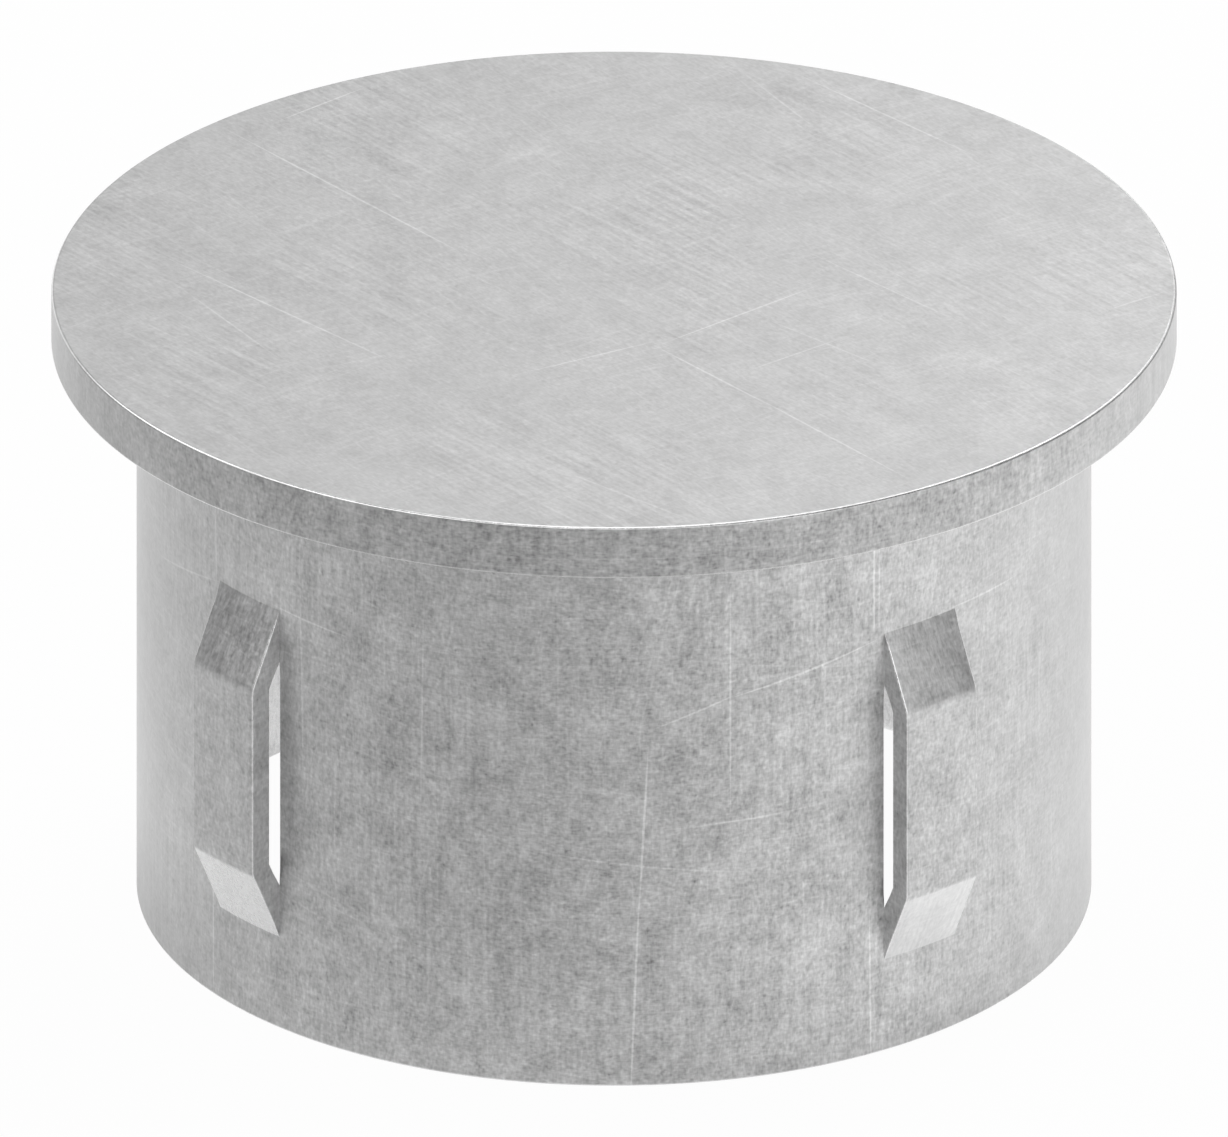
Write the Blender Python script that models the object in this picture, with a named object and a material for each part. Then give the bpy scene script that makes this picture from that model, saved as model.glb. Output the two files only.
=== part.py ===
"""Steel tube end cap, in metres, +Z up.

A solid round flange closes the end of a tube. The thin collar under it goes into the tube's bore, and strips of the
collar's wall, slit free along both sides and pressed outwards as bridges, grip that bore. The cap is one piece.
The origin is the centre of the collar's open rim, which is what the cap stands on.
"""

import math

import bmesh
import bpy

# Collar: the part that goes into the tube.
COLLAR_DIAMETER = 0.0509
COLLAR_LENGTH = 0.0320
WALL = 0.00125

# Flange: seats on the end of the tube, and reaches out to the tube's own outside.
FLANGE_OVERHANG = 0.00455
FLANGE_THICKNESS = 0.0030

# Bridges: strips of the wall between two slits. The drop is from the flange's underside to the upper root, the tail
# from the lower root to the open rim, and each ramp is the height over which the strip rises.
BRIDGE_COUNT = 4
BRIDGE_WIDTH = 0.0049
BRIDGE_RISE = 0.0019
BRIDGE_RAMP = 0.0042
BRIDGE_DROP = 0.0074
BRIDGE_TAIL = 0.0054
BEND_RADIUS = 0.00015  # on the inside of each bend

# Broken edges.
FLANGE_EDGE_RADIUS = 0.00014
RIM_EDGE_RADIUS = 0.00014

# How finely the round forms are cut into flats.
COLUMN_STEP = math.radians(2.8)
BRIDGE_SPANS = 4
BEND_SPANS = 3
EDGE_SPANS = 2
SMOOTH_UNDER = math.radians(30)

COLLAR_RADIUS = COLLAR_DIAMETER / 2
BORE_RADIUS = COLLAR_RADIUS - WALL
FLANGE_RADIUS = COLLAR_RADIUS + FLANGE_OVERHANG
TOP = COLLAR_LENGTH + FLANGE_THICKNESS
UPPER_ROOT = COLLAR_LENGTH - BRIDGE_DROP
LOWER_ROOT = BRIDGE_TAIL
RAMP_ANGLE = math.atan2(BRIDGE_RISE, BRIDGE_RAMP)


def clear_scene():
    for old in list(bpy.data.objects):
        bpy.data.objects.remove(old, do_unlink=True)


def arc(radius, height, size, start, end, spans):
    """Points (radius, height) on a round of that size about a centre, from one angle to another."""
    turns = [start + (end - start) * i / spans for i in range(spans + 1)]
    return [(radius + size * math.cos(a), height + size * math.sin(a)) for a in turns]


def flange_edge():
    """Down the flange's outer side, from its top face to its underside, with both edges broken."""
    size = min(FLANGE_EDGE_RADIUS, FLANGE_THICKNESS / 2.5, FLANGE_OVERHANG / 2.5)
    centre = FLANGE_RADIUS - size
    quarter = math.pi / 2
    upper = arc(centre, TOP - size, size, quarter, 0, EDGE_SPANS)
    lower = arc(centre, COLLAR_LENGTH + size, size, 0, -quarter, EDGE_SPANS)
    return upper + lower


def open_rim():
    """Round the collar's open rim, from its outer side to its bore, with both edges broken."""
    size = min(RIM_EDGE_RADIUS, WALL / 2.5)
    half = math.pi / 2
    outer = arc(COLLAR_RADIUS - size, size, size, 0, -half, EDGE_SPANS)
    inner = arc(BORE_RADIUS + size, size, size, -half, -2 * half, EDGE_SPANS)
    return outer + inner


def bridge_face(outer):
    """Down one face of a bridge's strip, from its upper root to its lower one, as (radius, height) points.

    The strip keeps the wall's thickness, so the two faces of a bend are arcs about one centre. At a root the strip
    bends away from the axis and the centre is outside it. Where the ramp ends it bends back, about a centre inside.
    The lower half is the upper half turned over.
    """
    near, far = BEND_RADIUS, BEND_RADIUS + WALL
    root_size, ramp_end_size = (near, far) if outer else (far, near)
    root_height = UPPER_ROOT + near * math.tan(RAMP_ANGLE / 2)
    ramp_end_height = UPPER_ROOT - BRIDGE_RAMP - far * math.tan(RAMP_ANGLE / 2)
    root = arc(COLLAR_RADIUS + near, root_height, root_size, math.pi, math.pi + RAMP_ANGLE, BEND_SPANS)
    ramp_end_radius = COLLAR_RADIUS + BRIDGE_RISE - far
    ramp_end = arc(ramp_end_radius, ramp_end_height, ramp_end_size, RAMP_ANGLE, 0, BEND_SPANS)
    upper = root + ramp_end
    lower = [(radius, UPPER_ROOT + LOWER_ROOT - height) for radius, height in reversed(upper)]
    return upper + lower


def with_crossings(path, limit):
    """The path with a point added wherever it crosses a radius, and the places of those points in it."""
    points = [path[0]]
    crossings = []
    for (r0, z0), (r1, z1) in zip(path, path[1:]):
        if (r0 - limit) * (r1 - limit) < 0:
            crossings.append(len(points))
            points.append((limit, z0 + (z1 - z0) * (limit - r0) / (r1 - r0)))
        points.append((r1, z1))
    return points, crossings


def column(mesh, heading, offset, path):
    """Vertices down one section of the cap.

    The section stands in the plane that is parallel to the heading and offset from the axis to its left, so that a
    bridge's sides are flat and its faces stay concentric with the collar.
    """
    ahead = (math.cos(heading), math.sin(heading))
    vertices = []
    for radius, height in path:
        forward = math.sqrt(radius * radius - offset * offset)
        x = ahead[0] * forward - ahead[1] * offset
        y = ahead[1] * forward + ahead[0] * offset
        vertices.append(mesh.verts.new((x, y, height)))
    return vertices


def pairs(vertices):
    return [list(pair) for pair in zip(vertices, vertices[1:])]


def skin(mesh, left, right):
    """Faces between two columns, given as chains of vertices from one shared level to the next."""
    for down, up in zip(left, right):
        mesh.faces.new(down + up[::-1])


class Bridge:
    """One bridge: its columns, and the flat sides that the two slits leave on the strip and on the wall."""

    def __init__(self, mesh, heading):
        head = flange_edge() + [(COLLAR_RADIUS, COLLAR_LENGTH)]
        rim = open_rim()
        outer = bridge_face(outer=True)
        inner, self.crossings = with_crossings(bridge_face(outer=False), COLLAR_RADIUS)
        path = head + outer + rim + inner[::-1] + [(BORE_RADIUS, COLLAR_LENGTH)]
        self.outer_at = len(head)
        self.rim_at = self.outer_at + len(outer)
        self.inner_at = self.rim_at + len(rim)
        offsets = [BRIDGE_WIDTH * (i / BRIDGE_SPANS - 0.5) for i in range(BRIDGE_SPANS + 1)]
        self.columns = [column(mesh, heading, offset, path) for offset in offsets]
        for left, right in zip(self.columns, self.columns[1:]):
            skin(mesh, pairs(left), pairs(right))
        for edge in (self.columns[0], self.columns[-1]):
            self.close_side(mesh, edge)

    def strip_faces(self, edge):
        """The strip's outer and inner lines on an edge column, both from the upper root down."""
        return edge[self.outer_at:self.rim_at], edge[self.inner_at:-1][::-1]

    def close_side(self, mesh, edge):
        """Fills one slit plane: the strip's side, beyond the wall, and the wall's side, inside the strip.

        Where the strip rises clear of the wall the two meet in points at the ends of the open gap.
        """
        outer, inner = self.strip_faces(edge)
        if self.crossings:
            first, last = self.crossings
            outer = outer + inner[first:last + 1][::-1]
            inner = inner[:first + 1] + inner[last:]
        mesh.faces.new(outer)
        mesh.faces.new(inner)

    def wall_chains(self, edge):
        """An edge column as the plain wall beside it sees it: its strip left out, its roots and gap ends kept."""
        outer, inner = self.strip_faces(edge)
        gap_ends = [inner[i] for i in self.crossings]
        head = edge[:self.outer_at]
        rim = edge[self.rim_at:self.inner_at]
        outer_chain = [head[-1], outer[0], *gap_ends, outer[-1], rim[0]]
        inner_chain = [rim[-1], inner[-1], inner[0], edge[-1]]
        return pairs(head) + [outer_chain] + pairs(rim) + [inner_chain]


def plain_columns(mesh, heading, pitch):
    """Columns of plain wall from one bridge to the next."""
    path = flange_edge() + [(COLLAR_RADIUS, COLLAR_LENGTH)] + open_rim() + [(BORE_RADIUS, COLLAR_LENGTH)]
    margin = math.asin(BRIDGE_WIDTH / 2 / COLLAR_RADIUS)
    width = pitch - 2 * margin
    spans = max(2, round(width / COLUMN_STEP))
    return [column(mesh, heading + margin + width * i / spans, 0, path) for i in range(1, spans)]


def close_disc(mesh, ring, height):
    """A flat disc from a ring of vertices to a point on the axis."""
    centre = mesh.verts.new((0, 0, height))
    for a, b in zip(ring, ring[1:] + ring[:1]):
        mesh.faces.new((centre, a, b))


def end_cap_mesh():
    mesh = bmesh.new()
    pitch = 2 * math.pi / BRIDGE_COUNT
    headings = [k * pitch - math.pi / 2 for k in range(BRIDGE_COUNT)]
    bridges = [Bridge(mesh, heading) for heading in headings]
    ring = []
    for k, bridge in enumerate(bridges):
        following = bridges[(k + 1) % BRIDGE_COUNT]
        between = plain_columns(mesh, headings[k], pitch)
        chains = [bridge.wall_chains(bridge.columns[-1])]
        chains += [pairs(plain) for plain in between]
        chains.append(following.wall_chains(following.columns[0]))
        for left, right in zip(chains, chains[1:]):
            skin(mesh, left, right)
        ring += bridge.columns + between
    close_disc(mesh, [vertices[0] for vertices in ring], TOP)
    close_disc(mesh, [vertices[-1] for vertices in ring], COLLAR_LENGTH)
    bmesh.ops.recalc_face_normals(mesh, faces=mesh.faces)
    data = bpy.data.meshes.new("end_cap")
    mesh.to_mesh(data)
    mesh.free()
    data.shade_smooth()
    data.set_sharp_from_angle(angle=SMOOTH_UNDER)
    return data


def galvanised_steel():
    material = bpy.data.materials.new("galvanised_steel")
    material.use_nodes = True
    shader = material.node_tree.nodes["Principled BSDF"]
    shader.inputs["Base Color"].default_value = (0.56, 0.56, 0.57, 1)
    shader.inputs["Metallic"].default_value = 0.9
    shader.inputs["Roughness"].default_value = 0.45
    return material


def main():
    clear_scene()
    data = end_cap_mesh()
    data.materials.append(galvanised_steel())
    cap = bpy.data.objects.new("end_cap", data)
    bpy.context.scene.collection.objects.link(cap)


main()
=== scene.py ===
"""Looks of a round steel tube end cap: its finely rounded shell, its galvanised finish and a plain studio.

Lengths are metres, +Z is up, and the origin is the centre of the collar's open rim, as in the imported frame.
"""

import logging
import math
from dataclasses import dataclass, field, replace
from enum import Enum
from typing import Any

import bmesh
import bpy
import numpy as np
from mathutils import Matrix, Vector

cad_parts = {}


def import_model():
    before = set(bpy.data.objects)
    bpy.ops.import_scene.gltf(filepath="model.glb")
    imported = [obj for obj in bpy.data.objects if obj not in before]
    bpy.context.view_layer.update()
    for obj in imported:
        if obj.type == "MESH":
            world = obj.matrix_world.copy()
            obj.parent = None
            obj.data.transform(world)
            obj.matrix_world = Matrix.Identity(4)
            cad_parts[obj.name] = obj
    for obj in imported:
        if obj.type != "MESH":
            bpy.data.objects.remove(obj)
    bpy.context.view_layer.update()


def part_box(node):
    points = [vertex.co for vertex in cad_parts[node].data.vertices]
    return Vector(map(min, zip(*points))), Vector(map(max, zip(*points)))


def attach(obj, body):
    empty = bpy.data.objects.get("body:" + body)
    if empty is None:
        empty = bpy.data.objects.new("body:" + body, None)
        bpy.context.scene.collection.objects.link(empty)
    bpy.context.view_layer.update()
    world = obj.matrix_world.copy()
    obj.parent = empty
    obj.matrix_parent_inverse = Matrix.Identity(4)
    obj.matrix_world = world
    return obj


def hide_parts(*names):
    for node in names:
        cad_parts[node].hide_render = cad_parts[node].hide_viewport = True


CAP_NODE = "end_cap"
CAP_BODY = "root"
SHEET_PLACE = "sheet_place"
# The shell's attribute: painted light and shade with worn edges, the share of upright grain, and calm grain
SHEET_WEAR_AND_LIGHT = "sheet_wear_and_light"
WELD_DISTANCE = 2e-7
MILLIMETRE = 0.001

Array = np.ndarray
Pair = tuple[float, float]
Colour = tuple[float, float, float, float]
Socket = bpy.types.NodeSocket

log = logging.getLogger("end_cap")


def linked(name: str, data: bpy.types.ID) -> bpy.types.Object:
    """Makes an object that shows some data, and links it to the scene.

    Args:
        name: The object's name.
        data: The mesh, camera or lamp that it shows.

    Returns:
        The new object.
    """
    made = bpy.data.objects.new(name, data)
    bpy.context.scene.collection.objects.link(made)
    return made


class Side(Enum):
    """The two slit planes of a bridge, as the way from the bridge's middle to each."""

    RIGHT = -1.0
    LEFT = 1.0


@dataclass(frozen=True)
class Profile:
    """A line down a section of the cap and the way its surface faces there, as rows of (radius, height)."""

    places: Array
    facings: Array

    @classmethod
    def arc(cls, centre: Pair, size: float, start: float, end: float, spans: int,
            hollow: bool = False) -> "Profile":
        """A round: centre + size (cos a, sin a), with the angle a going evenly from start to end.

        Args:
            centre: Radius and height of the round's centre.
            size: The round's own radius.
            start: First angle, in radians from the way outwards.
            end: Last angle.
            spans: How many stretches the round is cut into.
            hollow: Whether the surface faces the centre and not away from it.

        Returns:
            The round's points and facings.
        """
        turns = np.linspace(start, end, spans + 1)
        rays = np.column_stack((np.cos(turns), np.sin(turns)))
        return cls(np.array(centre) + size * rays, -rays if hollow else rays)

    @classmethod
    def point(cls, radius: float, height: float, facing: Pair) -> "Profile":
        """A single point of a line."""
        return cls(np.array([[radius, height]]), np.array([facing]))

    @classmethod
    def straight(cls, start: Pair, end: Pair, facing: Pair, spans: int) -> "Profile":
        """A straight line that faces one way all along."""
        return cls.point(*start, facing).then(cls.point(*end, facing), spans)

    def then(self, other: "Profile", spans: int = 1) -> "Profile":
        """This line, a straight stretch and the other line.

        Args:
            other: The line that follows.
            spans: How many spans the stretch between the two has.

        Returns:
            The joined line.
        """
        share = np.linspace(0, 1, spans + 1)[1:-1, None]
        places = self.places[-1] * (1 - share) + other.places[0] * share
        facings = self.facings[-1] * (1 - share) + other.facings[0] * share
        return Profile(np.vstack((self.places, places, other.places)),
                       np.vstack((self.facings, facings, other.facings)))

    def turned_over(self, height_sum: float) -> "Profile":
        """The line mirrored about half that height, still running downwards."""
        return Profile((self.places * (1, -1) + (0, height_sum))[::-1], (self.facings * (1, -1))[::-1])

    def lengths(self) -> Array:
        """The way travelled along the line up to each point."""
        steps = np.linalg.norm(np.diff(self.places, axis=0), axis=1)
        return np.concatenate(([0.0], np.cumsum(steps)))

    @property
    def radius(self) -> Array:
        """The points' distances from the axis."""
        return self.places[:, 0]


@dataclass(frozen=True)
class Patch:
    """A grid of points and the way the true surface faces at each, both of shape (rows, columns, 3)."""

    points: Array
    facings: Array

    @classmethod
    def swept(cls, profile: Profile, headings: Array) -> "Patch":
        """A profile turned about the axis: (radius cos h, radius sin h, height) at each heading h.

        Args:
            profile: The line that is turned, one row to a point.
            headings: The headings of each row's columns, in radians.

        Returns:
            The surface between the first heading and the last.
        """
        radius, height = profile.places.T[..., None]
        outwards, upwards = profile.facings.T[..., None]
        cosine, sine = np.cos(headings), np.sin(headings)
        points = np.broadcast_arrays(radius * cosine, radius * sine, height)
        facings = np.broadcast_arrays(outwards * cosine, outwards * sine, upwards)
        return cls(np.stack(points, axis=-1), np.stack(facings, axis=-1))

    @classmethod
    def between(cls, first: Array, second: Array, facing: Array) -> "Patch":
        """A flat strip between two lines of points, facing one way."""
        points = np.stack((first, second), axis=1)
        return cls(points, np.broadcast_to(facing, points.shape))

    @classmethod
    def disc(cls, ring: Array, upwards: float, rings: int) -> "Patch":
        """A level disc: a closed ring of points drawn in towards the axis by an even share at each row.

        Args:
            ring: The disc's edge, one row to a point.
            upwards: 1 where the disc faces up, and -1 where it faces down.
            rings: How many rows of faces it has.

        Returns:
            The disc, from its edge to its middle.
        """
        shares = np.linspace(1, 0, rings + 1)[:, None, None]
        points = ring[None] * np.array((1, 1, 0)) * shares + ring[None] * np.array((0, 0, 1))
        return cls(points, np.broadcast_to((0.0, 0.0, upwards), points.shape))


class Skin:
    """Patches welded into one closed mesh that keeps the facings they were worked out with."""

    def __init__(self) -> None:
        """Starts with no patches."""
        self.patches: list[Patch] = []

    def add(self, *patches: Patch) -> None:
        """Adds surfaces, whose edges have the same points as their neighbours' edges."""
        self.patches.extend(patches)

    def quads(self) -> tuple[Array, Array, Array]:
        """Points, facings and faces of all patches.

        A face takes four neighbouring grid points. Where its diagonals' cross product is against the facings
        there, its corners are taken in the other order.

        Returns:
            Points and facings as (n, 3), and corner numbers as (m, 4).
        """
        faces = []
        first = 0
        for patch in self.patches:
            rows, columns = patch.points.shape[:2]
            grid = first + np.arange(rows * columns).reshape(rows, columns)
            corners = (grid[:-1, :-1], grid[1:, :-1], grid[1:, 1:], grid[:-1, 1:])
            faces.append(np.stack([c.ravel() for c in corners], axis=1))
            first += rows * columns
        quads = np.concatenate(faces)
        points = np.concatenate([patch.points.reshape(-1, 3) for patch in self.patches])
        facings = np.concatenate([patch.facings.reshape(-1, 3) for patch in self.patches])
        a, b, c, d = points[quads.T]
        cross = np.cross(c - a, d - b)
        against = np.einsum("ij,ij->i", cross, facings[quads].sum(axis=1)) < 0
        quads[against] = quads[against, ::-1]
        return points, facings, quads

    def object(self, name: str, metal: "SheetMetal") -> bpy.types.Object:
        """Welds the patches into a mesh and links an object that shows it.

        Args:
            name: The piece's name.
            metal: The sheet whose places, worn edges and painted light and shade the mesh keeps.

        Returns:
            The new object, at the origin.
        """
        points, facings, quads = self.quads()
        mesh = bpy.data.meshes.new(name)
        mesh.from_pydata(points.tolist(), [], quads.tolist())
        kept = mesh.attributes.new("facing", "FLOAT_VECTOR", "CORNER")
        kept.data.foreach_set("vector", facings[quads].astype(np.float32).ravel())
        welded = bmesh.new()
        welded.from_mesh(mesh)
        bmesh.ops.remove_doubles(welded, verts=welded.verts, dist=WELD_DISTANCE)
        welded.to_mesh(mesh)
        welded.free()
        facing = self.read(mesh.attributes["facing"].data, "vector", 3)
        mesh.attributes.remove(mesh.attributes["facing"])
        mesh.shade_smooth()
        mesh.normals_split_custom_set(facing)
        place = self.read(mesh.vertices, "co", 3)[self.read(mesh.loops, "vertex_index", 0, np.int32)]
        first = self.read(mesh.polygons, "loop_start", 0, np.int32)
        total = self.read(mesh.polygons, "loop_total", 0, np.int32)
        for label, values in ((SHEET_PLACE, metal.places(place, facing, np.repeat(first, total))),
                              (SHEET_WEAR_AND_LIGHT, metal.wear_and_light(place, facing))):
            layer = mesh.attributes.new(label, "FLOAT_VECTOR", "CORNER")
            layer.data.foreach_set("vector", values.astype(np.float32).ravel())
        return linked(name, mesh)

    @staticmethod
    def read(items: Any, name: str, width: int, kind: type = np.float32) -> Array:
        """A property of all of a mesh's items, with one row to an item where it has a width.

        Args:
            items: The mesh's vertices, corners or faces, or an attribute's values.
            name: The property's name.
            width: How many numbers make a row, or 0 for single numbers without rows.
            kind: The numbers' type.

        Returns:
            The property's values.
        """
        values = np.empty(len(items) * max(width, 1), kind)
        items.foreach_get(name, values)
        return values.reshape(-1, width) if width else values


@dataclass(frozen=True)
class Rise:
    """A share that grows evenly, from 0 at one value to 1 at another."""

    low: float
    high: float

    def at(self, values: Array) -> Array:
        """The share at each value."""
        return np.clip((values - self.low) / (self.high - self.low), 0, 1)


@dataclass(frozen=True)
class SheetMetal:
    """Where each bit of the cap's surface lies on its flat sheet, in millimetres, and its worn edges and
    painted light and shade there.

    A wall is unrolled, by the way round it and the height. A slit side keeps its distance from the axis and
    its height, and a level face its X and Y, each far enough off. The front is the side that the camera sees.
    """

    unrolled_radius: float
    bridge_count: int
    top_shift: float = 100.0
    underside_shift: float = 200.0
    slit_shift: float = 300.0
    level_least: float = 0.7
    slit_most: float = 0.5
    front_heading: float = math.radians(-40.0)
    flange_from: float = 0.029
    # Painted highlight: rounded edges are lighter in base colour, partly as worn edges; on the flange the
    # painted highlight fades towards both sides
    edge_wear_and_highlight: float = 0.8
    flange_edge_highlight: float = 1.1
    edge_highlight_fade: float = 1.1
    edge_highlight_fade_swing: float = 0.6
    edge_power: int = 3
    # Painted sheen: ramps that lean outwards and down are lighter in base colour, more so towards one heading
    ramp_sheen: float = 0.51
    ramp_sheen_swing: float = 0.14
    ramp_sheen_heading: float = math.radians(-135.0)
    # Painted light: slit sides are lighter in base colour
    slit_side_light: float = 0.30
    # Painted light: the bore is lighter in base colour, as if lit from below
    bore: float = 0.75
    # Painted shade: the flange's cut side is darker in base colour, most at the front and less towards both
    # sides
    cut: float = 0.16
    flange_side_shade_fade: float = 0.6
    # Painted shade: the wall and the flange's upper edge far to the right as seen from the front are darker
    # in base colour
    far_wall_shade: float = 0.15
    far_wall_power: int = 16
    far_edge_shade: float = 0.55
    upright: float = 0.55
    upright_swing: float = 0.15
    level_upright: float = 0.25
    side_calm_power: int = 4
    ramp_outwards: float = 0.8
    ramp_calm: float = 0.8
    ramp_facing: Rise = Rise(0.2, 0.35)
    slit_facing: Rise = Rise(0.5, 0.8)
    bore_facing: Rise = Rise(0.6, 0.9)
    wall_facing: Rise = Rise(0.7, 0.9)
    upper_facing: Rise = Rise(0.4, 0.7)
    level_facing: Rise = Rise(0.6, 0.9)
    sharp_edge: Rise = Rise(0.62, 0.92)
    broad_edge: Rise = Rise(0.03, 0.23)

    @staticmethod
    def outwards(place: Array, facing: Array) -> tuple[Array, Array]:
        """Each point's distance from the axis, and the part of its facing that is away from the axis.

        Args:
            place: The points.
            facing: The way the surface faces at each.

        Returns:
            The distances, and the parts from -1 to 1.
        """
        radius = np.hypot(place[:, 0], place[:, 1])
        product = place[:, 0] * facing[:, 0] + place[:, 1] * facing[:, 1]
        return radius, product / np.maximum(radius, MILLIMETRE)

    def places(self, place: Array, facing: Array, first: Array) -> Array:
        """Places on the flat sheet.

        They are (radius times heading, height) on a wall, (own radius, height + shift) on a slit side and
        (x, y + shift) on a level face.

        Args:
            place: The corners' points.
            facing: The way the surface faces at each.
            first: The number of the first corner of each corner's face, from which its heading is unwound.

        Returns:
            Places as rows of three, the last of them zero.
        """
        heading = np.arctan2(place[:, 1], place[:, 0])
        turned = heading - heading[first]
        heading = heading[first] + turned - 2 * math.pi * np.round(turned / (2 * math.pi))
        radius, outwards = self.outwards(place, facing)
        wall = np.column_stack((heading * self.unrolled_radius, place[:, 2])) / MILLIMETRE
        slit = np.column_stack((radius, place[:, 2])) / MILLIMETRE + (0.0, self.slit_shift)
        shift = np.where(facing[:, 2] > 0, self.top_shift, self.underside_shift)
        level = np.column_stack((place[:, 0] / MILLIMETRE, place[:, 1] / MILLIMETRE + shift))
        is_level = (np.abs(facing[:, 2]) > self.level_least)[first, None]
        is_slit = (outwards ** 2 + facing[:, 2] ** 2 < self.slit_most)[first, None]
        spread = np.where(is_level, level, np.where(is_slit, slit, wall))
        return np.column_stack((spread, np.zeros(len(place))))

    def edge_wear_and_highlight_level(self, side: Array, on_flange: Array) -> Array:
        """Painted highlight on edges, partly worn edges, which on the flange is most at its front and least
        at both sides.
        """
        highlight_fade_share = (self.edge_highlight_fade + self.edge_highlight_fade_swing * side) * np.abs(side) ** self.edge_power
        return np.where(on_flange, self.flange_edge_highlight * (1 - np.minimum(highlight_fade_share, 1)), self.edge_wear_and_highlight)

    def wear_and_light(self, place: Array, facing: Array) -> Array:
        """How the surface is worn, and where light and shade are painted on it.

        With o, a and u the facing's parts outwards, around and upwards, an edge is where two of them are
        large: 4 (o^2 a^2 + a^2 u^2 + u^2 o^2). Edges are lighter, partly worn and partly a painted highlight,
        which on the flange is brightest at the front. A ramp that leans outwards and down has a painted
        sheen, and slit sides and the bore have painted light. The flange's cut side has painted shade, and
        what is far to the right as seen from the front has more painted shade.

        Args:
            place: The corners' points.
            facing: The way the surface faces at each.

        Returns:
            Rows of the painted light and worn edges, or below zero the painted shade, the share of upright
            grain, and how calm the grain is, as on a level face.
        """
        radius, outwards = self.outwards(place, facing)
        upwards = facing[:, 2]
        squares = np.clip(np.column_stack((outwards, upwards)) ** 2, 0, 1)
        around = np.clip(1 - squares.sum(axis=1), 0, 1)
        edge = 4 * (squares[:, 0] * squares[:, 1] + around * squares.sum(axis=1))
        heading = np.arctan2(place[:, 1], place[:, 0])
        side = np.sin(heading - self.front_heading)
        on_flange = radius > self.flange_from
        ramp = self.ramp_facing.at(-upwards) * (outwards > self.ramp_outwards)
        # painted sheen on the lower ramps, stronger towards one heading
        ramp_sheen = self.ramp_sheen + self.ramp_sheen_swing * np.cos(heading - self.ramp_sheen_heading)
        # Painted light with worn edges: the strongest of edge highlight, ramp sheen, slit sides and bore
        bright = np.maximum.reduce((
            self.edge_wear_and_highlight_level(side, on_flange) * self.sharp_edge.at(edge),
            ramp_sheen * ramp,
            self.slit_side_light * self.slit_facing.at(around),
            self.bore * self.bore_facing.at(-outwards),
        ))
        right = np.maximum(side, 0)
        # painted shade on the flange's cut side, most at the front
        cut = self.cut * (1 - self.flange_side_shade_fade * side ** 2) * on_flange
        wall = self.wall_facing.at(outwards) * (cut + self.far_wall_shade * right ** self.far_wall_power)
        upper_edge = self.broad_edge.at(edge) * self.upper_facing.at(upwards) * on_flange
        # painted shade in all: the flange's side, the far right wall and the far right upper edge
        painted_shade = wall + self.far_edge_shade * upper_edge * right ** self.edge_power
        level = self.level_facing.at(np.abs(upwards))
        upright = self.upright + self.upright_swing * np.cos(self.bridge_count * heading)
        upright = upright * (1 - level) + self.level_upright * level
        calm = np.maximum.reduce((level, side ** self.side_calm_power, self.ramp_calm * ramp))
        return np.column_stack((bright - painted_shade, upright, calm))


@dataclass(frozen=True)
class Collar:
    """The thin round wall that goes into the tube."""

    radius: float = 0.02545
    wall: float = 0.00125
    rim_edge: float = 0.00014
    edge_spans: int = 4

    @property
    def bore(self) -> float:
        """Radius of the hollow inside."""
        return self.radius - self.wall

    def rim(self, height: float) -> Profile:
        """Down the outside from a height, round the open rim, and up the inside to the same height.

        Args:
            height: Height at which the line starts and ends.

        Returns:
            The line.
        """
        quarter = math.pi / 2
        size = self.rim_edge
        outer = Profile.arc((self.radius - size, size), size, 0, -quarter, self.edge_spans)
        inner = Profile.arc((self.bore + size, size), size, -quarter, -2 * quarter, self.edge_spans)
        down = Profile.point(self.radius, height, (1, 0)).then(outer)
        return down.then(inner).then(Profile.point(self.bore, height, (-1, 0)))


@dataclass(frozen=True)
class Flange:
    """The solid disc that closes the tube and seats on its cut end."""

    radius: float
    top: float
    thickness: float = 0.0030
    edge: float = 0.00016
    edge_spans: int = 6
    side_spans: int = 2
    underside_spans: int = 3
    rings: int = 10

    @property
    def underside(self) -> float:
        """Height of the seat, where the collar starts."""
        return self.top - self.thickness

    def side(self, collar_radius: float) -> Profile:
        """From the top face round both broken edges, and along the underside to the collar.

        Args:
            collar_radius: The collar's outer radius.

        Returns:
            The line.
        """
        quarter = math.pi / 2
        centre = self.radius - self.edge
        upper = Profile.arc((centre, self.top - self.edge), self.edge, quarter, 0, self.edge_spans)
        lower = Profile.arc((centre, self.underside + self.edge), self.edge, 0, -quarter, self.edge_spans)
        seat_end = Profile.point(collar_radius, self.underside, (0, -1))
        return upper.then(lower, self.side_spans).then(seat_end, self.underside_spans)


@dataclass(frozen=True)
class BridgeForm:
    """Sizes that all bridges share: strips of the wall, slit along both sides and pressed outwards.

    The drop is from the flange's underside to the upper root, the tail from the lower root to the open rim,
    and a ramp is the height over which the strip rises. A worn edge grows over the fade, along the strip.
    """

    width: float = 0.0049
    rise: float = 0.0019
    ramp: float = 0.0042
    drop: float = 0.0074
    tail: float = 0.0054
    bend: float = 0.00015
    strip_edge: float = 0.00011
    slit_edge: float = 0.00007
    fade: float = 0.0011
    across: int = 8
    sharp_spans: int = 3
    wide_spans: int = 7
    ramp_spans_above: int = 5
    ramp_spans_below: int = 8
    flat_spans: int = 10
    edge_spans: int = 4

    @property
    def ramp_angle(self) -> float:
        """How far a ramp leans out from the wall."""
        return math.atan2(self.rise, self.ramp)


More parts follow.
